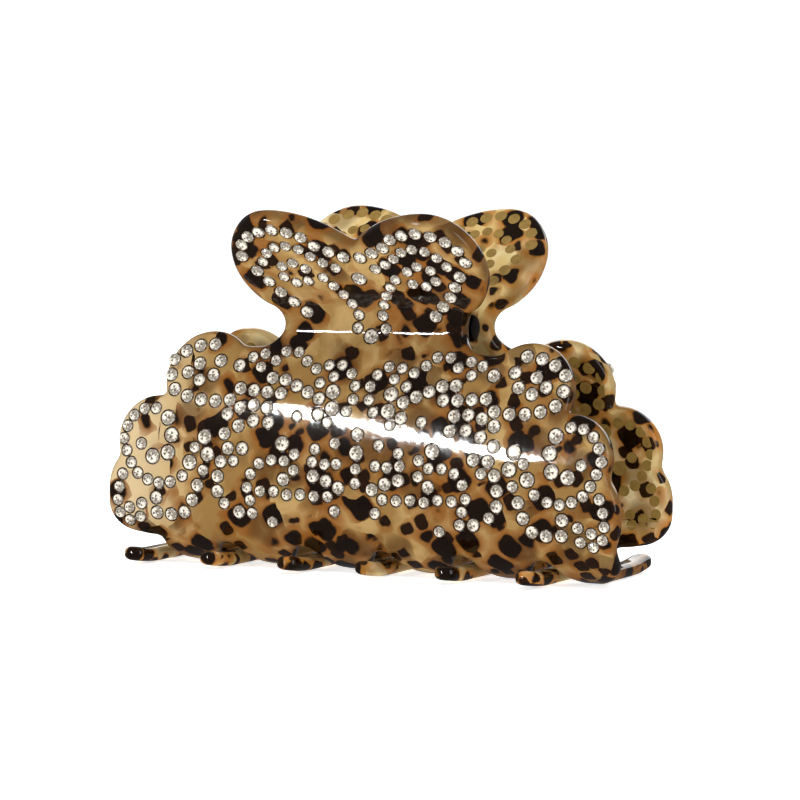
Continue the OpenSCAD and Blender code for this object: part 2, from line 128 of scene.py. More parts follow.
# %% Helpers for materials
def colour(code):
    """The linear colour of an sRGB hex code."""
    parts = [int(code[i : i + 2], 16) / 255 for i in (1, 3, 5)]
    return [c / 12.92 if c <= 0.04045 else ((c + 0.055) / 1.055) ** 2.4 for c in parts] + [1]


def add(tree, kind, settings=None, values=None, links=None):
    """Adds a node with its settings, the values of its inputs and the links into them."""
    node = tree.nodes.new(kind)
    for key, value in (settings or {}).items():
        setattr(node, key, value)
    for key, value in (values or {}).items():
        node.inputs[key].default_value = value
    for key, (source, output) in (links or {}).items():
        tree.links.new(source.outputs[output], node.inputs[key])
    return node


def new_material(name):
    """An empty node material, with its tree and its output node."""
    material = bpy.data.materials.new(name)
    material.use_nodes = True
    tree = material.node_tree
    tree.nodes.clear()
    return material, tree, tree.nodes.new("ShaderNodeOutputMaterial")


def dress(piece, *materials):
    """Puts materials on a piece."""
    while len(piece.data.materials) < len(materials):
        piece.data.materials.append(None)
    for i, material in enumerate(materials):
        piece.data.materials[i] = material


# %% [markdown]
# ## The line that the sheet is bent along
# Seen from its end, the sheet comes down the finger wing, turns in the neck fold, bulges slowly over the
# belly, curls under and runs out as teeth with gently raised tips. Two lines describe it, one for each face
# of the sheet. A flat plate is bent by sending each point, by its distance along the sheet and its depth in
# it, to a place between the two.

# %% Outside and inside of the bent sheet, in millimetres
HALF_T = 1.65  # half the sheet's thickness
TOOTH_T = 2.3
HINGE_Z = 40
BELLY_C, BELLY_R = (-43.7, 13.5), 55
NECK_LEAN, WING_LEAN = radians(25.3), radians(40)
NECK_R = 7
CURL_R = 10.2
REACH = 17.5  # how far a tooth reaches past the centre plane
TIP_LEN, TIP_BEND_R = 8.5, 40  # the raised tip of a tooth
WING_SPARE = 22  # the wing is drawn longer than needed, and the outline ends it
NECK_C = (
    BELLY_C[0] + (BELLY_R + NECK_R) * cos(NECK_LEAN),
    BELLY_C[1] + (BELLY_R + NECK_R) * sin(NECK_LEAN),
)
CURL_OUT = (BELLY_C[0] + BELLY_R + HALF_T - CURL_R, CURL_R)
CURL_IN_R = CURL_R - TOOTH_T
CURL_IN = (BELLY_C[0] + BELLY_R - HALF_T - CURL_IN_R, CURL_R)
TIP_C = (TIP_LEN - REACH, TOOTH_T / 2 + TIP_BEND_R)


def arc(centre, radius, start, end, count):
    """Points along an arc, with both ends."""
    turns = [start + (end - start) * i / count for i in range(count + 1)]
    return [(centre[0] + radius * cos(a), centre[1] + radius * sin(a)) for a in turns]


def face_line(side):
    """One face of the sheet from above the wing's top to the tooth's tip, as (distance out, height)."""
    off = side * HALF_T
    wing_foot = arc(NECK_C, NECK_R - off, pi - WING_LEAN, pi - WING_LEAN, 1)[0]
    wing_end = (wing_foot[0] + WING_SPARE * sin(WING_LEAN), wing_foot[1] + WING_SPARE * cos(WING_LEAN))
    curl_c, curl_r = (CURL_OUT, CURL_R) if side > 0 else (CURL_IN, CURL_IN_R)
    return (
        [wing_end]
        + arc(NECK_C, NECK_R - off, pi - WING_LEAN, pi + NECK_LEAN, 40)
        + arc(BELLY_C, BELLY_R + off, NECK_LEAN, 0, 60)[1:]
        + [(BELLY_C[0] + BELLY_R + off, CURL_R)]
        + arc(curl_c, curl_r, 0, -pi / 2, 60)[1:]
        + arc(TIP_C, TIP_BEND_R + side * TOOTH_T / 2, 1.5 * pi, 1.5 * pi - asin(TIP_LEN / TIP_BEND_R), 12)
    )


outside, inside = np.array(face_line(1)), np.array(face_line(-1))
middle = (outside + inside) / 2
steps = np.hypot(*np.diff(middle, axis=0).T)
along = np.concatenate([[0], np.cumsum(steps)])
print(f"the sheet's middle line is {along[-1]:.1f} mm long")


# %% Bending a point of the flat plate
def bend(x, s, depth):
    """Where a point of the flat plate goes: x across, s along the sheet, depth from its middle, all in mm."""
    w = 0.5 + depth / (2 * HALF_T)
    out = np.interp(s, along, inside[:, 0]) * (1 - w) + np.interp(s, along, outside[:, 0]) * w
    up = np.interp(s, along, inside[:, 1]) * (1 - w) + np.interp(s, along, outside[:, 1]) * w
    return np.stack([x, -out, up], axis=-1) * MM


def s_at_height(z):
    """Distance along the sheet at which its middle is at a height, above the curl's lowest part."""
    upper = middle[:, 1].argmin()
    return np.interp(-z, -middle[:upper, 1], along[:upper])


def s_at_reach(y):
    """Distance along the sheet at which a tooth's middle has reached y past the centre plane."""
    lower = middle[:, 0].argmax()
    return np.interp(y, -middle[lower:, 0], along[lower:])


def s_at_curl(v):
    """Distance along the sheet where its middle is v up the plane that faces the curl at 45 degrees."""
    first = middle[:, 0].argmax()
    rise = ((middle[first:, 0] - CURL_OUT[0]) + (middle[first:, 1] - CURL_OUT[1])) * sqrt(0.5)
    return np.interp(-v, -rise, along[first:])


# %% [markdown]
# ## The outline of the flat plate
# The rim of a jaw is a string of arcs: a wing, a round notch at the neck and three lobes down each side.
# Below them come the flared roots of six teeth with round slots between. Each arc ends where it meets the
# next one, so a small function finds where two circles cross.

# %% Arcs of the upper rim
STEP = 0.6  # distance between two points of the rim
SHOULDER = ((28.5, 30.6), 7.8)
MIDDLE = ((36.7, 20.5), 7.2)
LOWER = ((37.5, 12.2), 8.0)
CORNER = ((40.0, 10.1), 5.5)
WING_TOP = ((13.8, 37.0), 22.0)
WING_END = ((13.8, 50.5), 8.5)
NOTCH = ((19.9, NECK_C[1]), 3.85)


def crossing(a, b, outer=1):
    """Where two circles cross; outer = 1 picks the crossing to the left of the way from a to b."""
    (ax, az), ra = a
    (bx, bz), rb = b
    gap = hypot(bx - ax, bz - az)
    k = (ra * ra - rb * rb + gap * gap) / (2 * gap)
    h = sqrt(max(0, ra * ra - k * k)) * outer
    ux, uz = (bx - ax) / gap, (bz - az) / gap
    return ax + k * ux - h * uz, az + k * uz + h * ux


def turn_of(point, circle):
    """Direction of a point from a circle's centre."""
    return atan2(point[1] - circle[0][1], point[0] - circle[0][0])


def rim_arc(circle, start, end):
    """Points along part of a circle's rim."""
    return arc(*circle, start, end, max(1, ceil(abs(end - start) * circle[1] / STEP)))


shoulder_top = NOTCH[0][1] - NOTCH[1]
wing_edge = turn_of(NOTCH[0], WING_END)
upper_rim = (
    rim_arc(WING_TOP, pi - acos(WING_TOP[0][0] / WING_TOP[1]), pi / 2)
    + rim_arc(WING_END, pi / 2, wing_edge)
    + rim_arc(NOTCH, wing_edge + pi, 1.5 * pi)
    + rim_arc(
        SHOULDER,
        pi - asin((shoulder_top - SHOULDER[0][1]) / SHOULDER[1]),
        turn_of(crossing(SHOULDER, MIDDLE), SHOULDER),
    )
    + rim_arc(MIDDLE, turn_of(crossing(SHOULDER, MIDDLE), MIDDLE), turn_of(crossing(MIDDLE, LOWER), MIDDLE))
    + rim_arc(LOWER, turn_of(crossing(MIDDLE, LOWER), LOWER), turn_of(crossing(LOWER, CORNER), LOWER))
)
corner_start = turn_of(crossing(LOWER, CORNER), CORNER)
print(f"the upper rim has {len(upper_rim)} points a side")

# %% [markdown]
# The rim was measured from straight in front, while the sheet leans. A rounded edge of a leaning sheet also
# reaches a little past its middle line. So each rim point first moves inwards by that small reach, and its
# height is then turned into a distance along the sheet.

# %% Laying the rim flat
EDGE_R = 1.25  # radius of the tumbled edges


def edge_reach(z):
    """How far a rounded edge of the sheet stands past its middle line, seen from the front."""
    i = np.interp(s_at_height(z), along, np.arange(len(along)))
    a, b = middle[max(0, int(i) - 1)], middle[min(len(middle) - 1, int(i) + 1)]
    lean = abs(atan2(b[0] - a[0], a[1] - b[1]))
    return (HALF_T - EDGE_R) * sin(lean) + EDGE_R * (1 - cos(lean))


def lay_flat(points):
    """Turns front-view rim points, in clockwise order, into points of the flat plate."""
    flat = []
    for i, (x, z) in enumerate(points):
        ax, az = points[max(0, i - 1)]
        bx, bz = points[min(len(points) - 1, i + 1)]
        up = (ax - bx) / max(1e-6, hypot(bx - ax, bz - az))
        flat.append((x, s_at_height(z + up * edge_reach(z))))
    return flat


# %% The teeth and the lowest rim
TOOTH_N, PITCH, TOOTH_W = 6, 14.0, 3.8
FIRST_X = -31.5
LAST_X = FIRST_X + (TOOTH_N - 1) * PITCH
SLOT_R, SLOT_V = 2.05, -1.65
ROOT_V = -0.63 * CURL_R
LEFT_FLARE, RIGHT_FLARE = 3.0, 4.0
TIP_R = 0.55 * TOOTH_W
tip_side = REACH - TIP_R + sqrt(TIP_R**2 - (TOOTH_W / 2) ** 2)


def tooth(x):
    """One tooth from its right root round its tip to its left root."""
    start = asin((tip_side - REACH + TIP_R) / TIP_R)
    tip = arc((x, REACH - TIP_R), TIP_R, start, pi - start, 10)
    root = s_at_curl(ROOT_V)
    return [(x + TOOTH_W / 2, root)] + [(a, s_at_reach(b)) for a, b in tip] + [(x - TOOTH_W / 2, root)]


def slot_top(x):
    """The round top of a slot, from right to left."""
    return [(a, s_at_curl(b)) for a, b in arc((x, SLOT_V), SLOT_R, 0, pi, 10)]


right_x = LAST_X + TOOTH_W / 2 + RIGHT_FLARE
left_x = FIRST_X - TOOTH_W / 2 - LEFT_FLARE
right_rim = upper_rim + rim_arc(CORNER, corner_start, -acos((right_x - CORNER[0][0]) / CORNER[1]))
lower_end = (-left_x, LOWER[0][1] - sqrt(LOWER[1] ** 2 - (-left_x - LOWER[0][0]) ** 2))
corner_foot = crossing(LOWER, CORNER, -1)
left_rim = (
    upper_rim
    + rim_arc(CORNER, corner_start, turn_of(corner_foot, CORNER))
    + rim_arc(LOWER, turn_of(corner_foot, LOWER), turn_of(lower_end, LOWER))
)
teeth = [(right_x, s_at_curl(SLOT_V))]
for i in reversed(range(TOOTH_N)):
    teeth += tooth(FIRST_X + i * PITCH)
    if i:
        teeth += slot_top(FIRST_X + (i - 0.5) * PITCH)
teeth.append((left_x, s_at_curl(SLOT_V)))
rim = lay_flat(right_rim) + teeth + [(-x, s) for x, s in reversed(lay_flat(left_rim))]


# %% Even steps and softened corners
def even_steps(points, step):
    """The same closed line with its points a step apart."""
    line = np.array(points + points[:1])
    run = np.concatenate([[0], np.cumsum(np.hypot(*np.diff(line, axis=0).T))])
    count = round(run[-1] / step)
    at = np.arange(count) * run[-1] / count
    return np.stack([np.interp(at, run, line[:, 0]), np.interp(at, run, line[:, 1])], axis=-1)


rim = even_steps(rim, STEP)
for _ in range(3):
    rim = rim / 2 + (np.roll(rim, 1, axis=0) + np.roll(rim, -1, axis=0)) / 4
print(f"the flat rim has {len(rim)} points")

# %% [markdown]
# ## Cutting, rounding and bending the plate
# The plate starts as a disc whose rim is moved onto the outline. It is extruded to the sheet's thickness
# and both of its rims are bevelled round, as tumbling does. Bisecting it across and along gives the faces
# that a smooth bend needs. A voxel remesh could round it as well, but it would leave ripples in the long
# reflections.

# %% A flat plate with round edges
bpy.ops.object.select_all(action="DESELECT")
bpy.ops.mesh.primitive_circle_add(vertices=len(rim), radius=0.04, fill_type="NGON")
jaw = new_piece("front_jaw_acetate")
set_places(jaw, np.column_stack([rim, np.full(len(rim), -HALF_T)]) * MM)
only(jaw)
bpy.ops.object.mode_set(mode="EDIT")
bpy.ops.mesh.select_all(action="SELECT")
bpy.ops.mesh.extrude_region_move(TRANSFORM_OT_translate={"value": (0, 0, 2 * HALF_T * MM)})
bpy.ops.mesh.select_all(action="SELECT")
bpy.ops.mesh.normals_make_consistent(inside=False)
bpy.ops.mesh.select_mode(type="EDGE")
bpy.ops.mesh.select_all(action="DESELECT")
bpy.ops.object.mode_set(mode="OBJECT")
heights = get_places(jaw)[:, 2]
for edge in jaw.data.edges:
    a, b = edge.vertices
    edge.select = bool(abs(heights[a] - heights[b]) < HALF_T * MM)
bpy.ops.object.mode_set(mode="EDIT")
bpy.ops.mesh.bevel(offset=EDGE_R * MM, segments=5, affect="EDGES")
bpy.ops.mesh.select_mode(type="VERT")

# %% Faces for the bend
CUT_S, CUT_X = 0.8, 2.6
low, high = rim.min(0), rim.max(0)
for s in np.arange(low[1] + CUT_S / 3, high[1], CUT_S):
    bpy.ops.mesh.select_all(action="SELECT")
    bpy.ops.mesh.bisect(plane_co=(0, s * MM, 0), plane_no=(0, 1, 0))
for x in np.arange(low[0] + CUT_X / 3, high[0], CUT_X):
    bpy.ops.mesh.select_all(action="SELECT")
    bpy.ops.mesh.bisect(plane_co=(x * MM, 0, 0), plane_no=(1, 0, 0))
bpy.ops.object.mode_set(mode="OBJECT")
RIM_FADE = 0.9  # a rim counts as rim from this far under the sheet's face
flat = get_places(jaw) / MM
rim_depth = np.clip((HALF_T - np.abs(flat[:, 2])) / RIM_FADE, 0, 1)
# The "rim" number drives painted shade: darker amber laid on the rounded edges.
jaw.data.attributes.new("rim", "FLOAT", "POINT").data.foreach_set("value", rim_depth.astype(np.float32))
set_places(jaw, bend(flat[:, 0], flat[:, 1], flat[:, 2]))
faces_out(jaw)
print(f"the bent jaw has {len(jaw.data.polygons)} faces")
bent = get_places(jaw) / MM
print("bent jaw in mm:", bent.min(0).round(2), bent.max(0).round(2))

# %% [markdown]
# ## Where the crystals sit
# The CAD model has each crystal as a small loose solid. Separating a copy of a crystal node into its loose
# parts gives one part per crystal. A round part has the same spread in every direction across its axis and
# another one along it, so the odd direction out of its points' spread is the axis. Its outward end is the
# narrower one.

# %% Reading the places
SEAT = 0.9  # depth of the CAD crystals under the skin, in mm


def crystal_places(node):
    """Rows of (point on the skin, outward axis, diameter) in metres for each crystal of a CAD node."""
    source = copy_of(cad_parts[node], "reading_" + node)
    source.parent = None
    source.hide_render = source.hide_viewport = False
    only(source)
    bpy.ops.object.mode_set(mode="EDIT")
    bpy.ops.mesh.select_all(action="SELECT")
    bpy.ops.mesh.remove_doubles(threshold=0.004 * MM)
    bpy.ops.mesh.separate(type="LOOSE")
    bpy.ops.object.mode_set(mode="OBJECT")
    places = []
    for part in list(bpy.context.selected_objects):
        points = get_places(part)
        centre = points.mean(0)
        spread, ways = np.linalg.eigh((points - centre).T @ (points - centre))
        odd = 0 if spread[1] - spread[0] > spread[2] - spread[1] else 2
        axis = ways[:, odd]
        heights = (points - centre) @ axis
        if (heights**3).sum() > 0:
            axis, heights = -axis, -heights
        off = points - centre - np.outer(heights, axis)
        skin = centre + axis * (heights.min() + SEAT * MM)
        places.append((skin, axis, 2 * np.linalg.norm(off, axis=1).max()))
        mesh = part.data
        bpy.data.objects.remove(part)
        bpy.data.meshes.remove(mesh)
    places.sort(key=lambda p: (round(p[0][0], 6), round(p[0][2], 6)))
    print(f"{node}: {len(places)} crystals of {places[0][2] / MM:.2f} mm")
    return places


SIZES = ("small", "medium", "large")
crystal_nodes = [f"{side}_crystals_{size}" for side in ("front", "rear") for size in SIZES]
crystals_at = {node: crystal_places(node) for node in crystal_nodes}


# %% Copying a shape onto places
def spread_copies(master, places, name, spin=None):
    """Copies a unit shape, modelled round the origin with +Z outwards, onto all places, and joins them."""
    copies = []
    for point, axis, diameter in places:
        turn = Vector(axis).to_track_quat("Z", "Y").to_matrix().to_4x4()
        if spin:
            turn = turn @ Matrix.Rotation(spin.uniform(0, 2 * pi), 4, "Z")
        size = Matrix.Diagonal((diameter / 2, diameter / 2, MM, 1))
        copies.append(copy_of(master, name, Matrix.Translation(point) @ turn @ size))
    only(copies[0])
    for other in copies:
        other.select_set(True)
    bpy.ops.object.join()
    piece = bpy.context.active_object
    piece.name = piece.data.name = name
    return piece


# %% [markdown]
# ## Tortoise cellulose acetate
# Makers press milky, honey and near-black chips of acetate into a block and slice sheets from it. The chips
# run through the whole thickness, so a solid pattern in object space is right: each cell of a Voronoi
# texture is a place where a chip may lie. Its distance, measured so that a cell is a rounded square, gives
# the chip and the amber bleed round it. A second, blurred layer gives the chips that lie deeper in the
# milky sheet. Light enters the sheet, so part of the shading is subsurface, and the tumbled surface is
# polished with no lacquer on it. One end of the sheet is milkier than the rest. Rims look darker, because
# the eye looks along the sheet there, so the "rim" number of a vertex lays a darker amber under the chips
# as painted shade.

# %% The acetate material
LUCK = 1.6  # how strongly chips gather in some places and stay away from others
THINNING = 0.45  # how many fewer chips the milky end has


def chips(tree, place, size, share, offset, turn, sharp, halo, thin):
    """Masks of the chips and of the bleed round them.

    size is a chip's spacing in mm, share how many cells have one, and thin the mask of the milky end.
    """
    laid = add(tree, "ShaderNodeMapping", {}, {"Location": offset, "Rotation": turn}, {"Vector": place})
    cells = add(
        tree,
        "ShaderNodeTexVoronoi",
        {"distance": "MINKOWSKI"},
        {"Scale": 1 / (size * MM), "Exponent": 3.5, "Randomness": 0.75},
        {"Vector": (laid, "Vector")},
    )
    cloud = add(
        tree, "ShaderNodeTexNoise", {}, {"Scale": 1 / (9 * MM), "Detail": 1}, {"Vector": (cells, "Position")}
    )
    draw = add(tree, "ShaderNodeSeparateColor", {}, {}, {"Color": (cells, "Color")})
    luck = add(
        tree, "ShaderNodeMath", {"operation": "MULTIPLY_ADD"}, {1: LUCK, 2: -LUCK / 2}, {0: (cloud, 0)}
    )
    lucky = add(tree, "ShaderNodeMath", {"operation": "ADD"}, {}, {0: (draw, "Red"), 1: (luck, "Value")})
    score = add(
        tree, "ShaderNodeMath", {"operation": "MULTIPLY_ADD"}, {1: -THINNING}, {0: thin, 2: (lucky, "Value")}
    )
    chosen = add(tree, "ShaderNodeMath", {"operation": "GREATER_THAN"}, {1: 1 - share}, {0: (score, "Value")})
    masks = []
    for near, far in (sharp, halo):
        fade = add(
            tree,
            "ShaderNodeMapRange",
            {"interpolation_type": "SMOOTHSTEP"},
            {"From Min": near, "From Max": far, "To Min": 1, "To Max": 0},
            {"Value": (cells, "Distance")},
        )
        links = {0: (fade, "Result"), 1: (chosen, "Value")}
        masks.append(add(tree, "ShaderNodeMath", {"operation": "MULTIPLY"}, {}, links))
    return masks


def tint(tree, under, mask, code, strength=1):
    """Lays a colour over another one where a mask is on."""
    amount = add(tree, "ShaderNodeMath", {"operation": "MULTIPLY"}, {1: strength}, {0: mask})
    return add(
        tree,
        "ShaderNodeMix",
        {"data_type": "RGBA"},
        {7: colour(code)},
        {0: (amount, "Value"), 6: under},
    )


PALE_FROM, PALE_TO = -27, -41  # where the milky end of the sheet begins along X, in mm
LOW_END = (4, 8)  # heights below and above which the milky end is off and on, in mm


def tortoise(name, milk, cream, amber, deep, shift):
    """Tumbled tortoise acetate."""
    material, tree, output = new_material(name)
    spot = add(tree, "ShaderNodeTexCoord")
    moved = add(tree, "ShaderNodeMapping", {}, {"Location": shift}, {"Vector": (spot, "Object")})
    ripple = add(
        tree, "ShaderNodeTexNoise", {}, {"Scale": 1 / (3 * MM), "Detail": 2}, {"Vector": (moved, "Vector")}
    )
    bent_place = add(
        tree,
        "ShaderNodeVectorMath",
        {"operation": "MULTIPLY_ADD"},
        {1: (1.1 * MM,) * 3},
        {0: (ripple, "Color"), 2: (moved, "Vector")},
    )
    place = (bent_place, "Vector")
    cloud = add(
        tree,
        "ShaderNodeTexNoise",
        {},
        {"Scale": 1 / (7 * MM), "Detail": 3, "Distortion": 0.6},
        {"Vector": place},
    )
    veil = add(
        tree,
        "ShaderNodeMapRange",
        {"interpolation_type": "SMOOTHSTEP"},
        {"From Min": 0.4, "From Max": 0.62},
        {"Value": (cloud, 0)},
    )
    ends = add(tree, "ShaderNodeSeparateXYZ", {}, {}, {"Vector": (spot, "Object")})
    pale = add(
        tree,
        "ShaderNodeMapRange",
        {"interpolation_type": "SMOOTHSTEP"},
        {"From Min": PALE_FROM * MM, "From Max": PALE_TO * MM},
        {"Value": (ends, "X")},
    )
    mixed = add(
        tree,
        "ShaderNodeMix",
        {"data_type": "RGBA"},
        {6: colour(milk), 7: colour(cream)},
        {0: (veil, "Result")},
    )
    low_end = add(
        tree,
        "ShaderNodeMapRange",
        {},
        {"From Min": LOW_END[0] * MM, "From Max": LOW_END[1] * MM},
        {"Value": (ends, "Z")},
    )
    milky = add(
        tree,
        "ShaderNodeMath",
        {"operation": "MULTIPLY"},
        {},
        {0: (pale, "Result"), 1: (low_end, "Result")},
    )
    base = add(
        tree,
        "ShaderNodeMix",
        {"data_type": "RGBA"},
        {7: colour("#cfb78d")},
        {0: (milky, "Value"), 6: (mixed, 2)},
    )
    thin = (milky, "Value")
    big, big_halo = chips(tree, place, 4.4, 0.6, (0, 0, 0), (0.3, 0.5, 0.7), (0.37, 0.45), (0.39, 0.8), thin)
    small, small_halo = chips(
        tree, place, 3.0, 0.48, (0.03, 0.01, 0.05), (0.9, 0.2, 0.4), (0.34, 0.42), (0.36, 0.8), thin
    )
    low, _ = chips(
        tree, place, 5.2, 0.42, (0.07, 0.04, 0.02), (0.5, 1.1, 0.2), (0.3, 0.62), (0.4, 1.0), thin
    )
    edge = add(tree, "ShaderNodeAttribute", {"attribute_name": "rim"})
    # Painted shade at the rims: the deep colour is laid where the "rim" number is high.
    under = tint(tree, (base, 2), (edge, "Fac"), deep, 0.6)
    under = tint(tree, (under, 2), (big_halo, "Value"), amber, 0.85)
    under = tint(tree, (under, 2), (small_halo, "Value"), amber, 0.6)
    under = tint(tree, (under, 2), (low, "Value"), deep, 0.65)
    under = tint(tree, (under, 2), (small, "Value"), "#1a0b03", 0.98)
    under = tint(tree, (under, 2), (big, "Value"), "#120803", 0.99)
    wave = add(
        tree, "ShaderNodeTexNoise", {}, {"Scale": 1 / (2.2 * MM), "Detail": 1}, {"Vector": (spot, "Object")}
    )
    dents = add(tree, "ShaderNodeBump", {}, {"Strength": 0.06, "Distance": 0.25 * MM}, {"Height": (wave, 0)})
    shader = add(
        tree,
        "ShaderNodeBsdfPrincipled",
        {},
        {
            "Roughness": 0.05,
            "IOR": 1.49,
            "Subsurface Weight": 0.12,
            "Subsurface Radius": (1.0, 0.5, 0.2),
            "Subsurface Scale": 0.8 * MM,
        },
        {"Base Color": (under, 2), "Normal": (dents, "Normal")},
    )
    tree.links.new(shader.outputs[0], output.inputs["Surface"])
    return material


front_acetate = tortoise(
    "tumbled_tortoise_acetate_front", "#93713f", "#b4945e", "#834d18", "#4c3015", (0, 0, 0)
)
# The rear jaw is the same acetate as the front; its lighter colours are painted light, the backlight that
# shines through the sheet onto its inner face.
rear_acetate = tortoise(
    "tortoise_acetate_rear_with_painted_backlight", "#e2c583", "#efdba6", "#b06c1b", "#80571f", (0.21, 0.13, 0.08)
)
lug_acetate = tortoise(
    "tumbled_tortoise_acetate_lugs", "#c9ab70", "#dcc590", "#9c641f", "#5f431f", (0.4, 0.3, 0.1)
)


# %% Glue in the pockets
def glue(name, pale, dark):
    """Clear adhesive over drilled acetate, mottled by noise between a pale and a dark colour."""
    material, tree, output = new_material(name)
    spot = add(tree, "ShaderNodeTexCoord")
    grain = add(
        tree, "ShaderNodeTexNoise", {}, {"Scale": 1 / (1.2 * MM), "Detail": 2}, {"Vector": (spot, "Object")}
    )
    mix = add(
        tree, "ShaderNodeMix", {"data_type": "RGBA"}, {6: colour(dark), 7: colour(pale)}, {0: (grain, 0)}
    )
    shader = add(
        tree, "ShaderNodeBsdfPrincipled", {}, {"Roughness": 0.2, "IOR": 1.5}, {"Base Color": (mix, 2)}
    )
    tree.links.new(shader.outputs[0], output.inputs["Surface"])
    return material


front_glue = glue("set_adhesive_on_front_acetate", "#79502a", "#2e1b0c")
# The rear adhesive is lighter than the front one by painted backlight, as on the rear acetate.
rear_glue_with_painted_backlight = glue("rear_adhesive_with_painted_backlight", "#b0904c", "#75592a")

# %% [markdown]
# ## Drilling the pockets
# Each crystal is glued in a blind hole that is a little wider than it is, and the dark ring round a crystal
# is that gap. Boolean cutters that cross each other would confuse the solver, so the pockets are shared out
# into groups in which none touches another. From behind, a pocket's floor shows through the sheet as a
# darker round spot. A hair-thin recess on the inner face, cut by a second set of cutters, gets that colour.

# %% Pocket cutters
RING = 0.13  # gap between a crystal and its pocket's wall, in mm
POCKET = 0.8  # depth of a pocket under the skin
RECESS = 0.03  # depth of the round spots on the inner face
SPOT_SHARE = 0.94  # width of a spot against its crystal
OVERRUN, UNDERRUN = 0.7, 0.8  # how far the cutters stand out of the sheet on each side


def untouching_groups(places, gap):
    """Shares places out into groups whose members stay clear of each other."""
    groups = []
    for place in places:
        for group in groups:
            if all(np.linalg.norm(place[0] - p[0]) > (place[2] + p[2]) / 2 + gap for p in group):
                group.append(place)
                break
        else:
            groups.append([place])
    return groups


def cutter_shape(name, low_z, high_z, radius):
    """A round cutter from one depth to another, in mm along its axis."""
    bpy.ops.object.select_all(action="DESELECT")
    bpy.ops.mesh.primitive_cylinder_add(
        vertices=18, radius=radius, depth=high_z - low_z, location=(0, 0, (low_z + high_z) / 2)
    )
    cutter = new_piece(name)
    bpy.ops.object.transform_apply(location=True, rotation=True, scale=True)
    return cutter


SHEET_T = 2 * HALF_T
APART = 0.02 * MM  # least gap between two cutters of one group
outer_master = cutter_shape("pocket_cutter", -POCKET, OVERRUN, 1)
inner_master = cutter_shape("recess_cutter", -SHEET_T - UNDERRUN, -SHEET_T + RECESS, SPOT_SHARE)
front_places = [p for size in SIZES for p in crystals_at["front_crystals_" + size]]
pockets = [(point, axis, diameter + 2 * RING * MM) for point, axis, diameter in front_places]
dress(jaw, front_acetate, front_glue)
CUTS = [(outer_master, group) for group in untouching_groups(pockets, APART)]
CUTS += [(inner_master, group) for group in untouching_groups(front_places, APART)]
for master, group in CUTS:
    cutter = spread_copies(master, group, "cutter")
    dress(cutter, front_acetate, front_glue)
    cutter.data.polygons.foreach_set("material_index", [1] * len(cutter.data.polygons))
    apply_modifier(jaw, "BOOLEAN", operation="DIFFERENCE", solver="MANIFOLD", object=cutter)
    print(f"cut {len(group)} pockets with {master.name}: {len(jaw.data.polygons)} faces")
    bpy.data.objects.remove(cutter)
for master in (outer_master, inner_master):
    bpy.data.objects.remove(master)
glued = sum(face.material_index for face in jaw.data.polygons)
print(f"{glued} faces lie in pockets")
smooth(jaw)
HALF_TURN = Matrix.Rotation(pi, 4, "Z")
rear_jaw = copy_of(jaw, "rear_jaw_acetate", HALF_TURN)

# %% [markdown]
# ## A faceted crystal
# A real crystal of this kind is a chaton: a round girdle, a ring of slanting facets and a flat table on
# top, with a silver foil behind the glass. Hundreds of them show at once, so one is modelled with a few
# dozen faces and copied. Three circles give its rings, and bridging them gives the facets. Poking the table
# stands in for the star that its foil draws inside. Each face also carries a number for how bright its foil
# looks, which is painted reflection: painted highlights on some facets and painted shade on others.

# %% Modelling one crystal
def pick(piece, rule):
    """Leaves edit mode, selects the vertices that a rule accepts, and goes back in."""
    bpy.ops.object.mode_set(mode="EDIT")
    bpy.ops.mesh.select_all(action="DESELECT")
    bpy.ops.object.mode_set(mode="OBJECT")
    for vertex in piece.data.vertices:
        vertex.select = rule(vertex.co)
    bpy.ops.object.mode_set(mode="EDIT")


GIRDLE_Z, CROWN_Z, TABLE_Z = 0.06, 0.28, 0.44
bpy.ops.object.select_all(action="DESELECT")
bpy.ops.mesh.primitive_circle_add(vertices=16, radius=0.98, location=(0, 0, 0))
crystal = new_piece("crystal_master")
bpy.ops.object.mode_set(mode="EDIT")
bpy.ops.transform.translate(value=(0, 0, GIRDLE_Z))
bpy.ops.mesh.primitive_circle_add(vertices=8, radius=0.83, location=(0, 0, CROWN_Z), rotation=(0, 0, pi / 8))
bpy.ops.mesh.primitive_circle_add(vertices=8, radius=0.56, location=(0, 0, TABLE_Z))
pick(crystal, lambda co: co.z < TABLE_Z - 0.01)
bpy.ops.mesh.bridge_edge_loops()
pick(crystal, lambda co: co.z > GIRDLE_Z + 0.01)
bpy.ops.mesh.bridge_edge_loops()
pick(crystal, lambda co: co.z > TABLE_Z - 0.01)
bpy.ops.mesh.edge_face_add()
bpy.ops.mesh.poke()
pick(crystal, lambda co: co.z < GIRDLE_Z + 0.01)
bpy.ops.mesh.extrude_region_move(TRANSFORM_OT_translate={"value": (0, 0, -GIRDLE_Z - 0.6)})
bpy.ops.mesh.edge_face_add()
bpy.ops.object.mode_set(mode="OBJECT")
only(crystal)
bpy.ops.object.mode_set(mode="EDIT")
bpy.ops.mesh.select_all(action="SELECT")
bpy.ops.mesh.normals_make_consistent(inside=False)
bpy.ops.object.mode_set(mode="OBJECT")

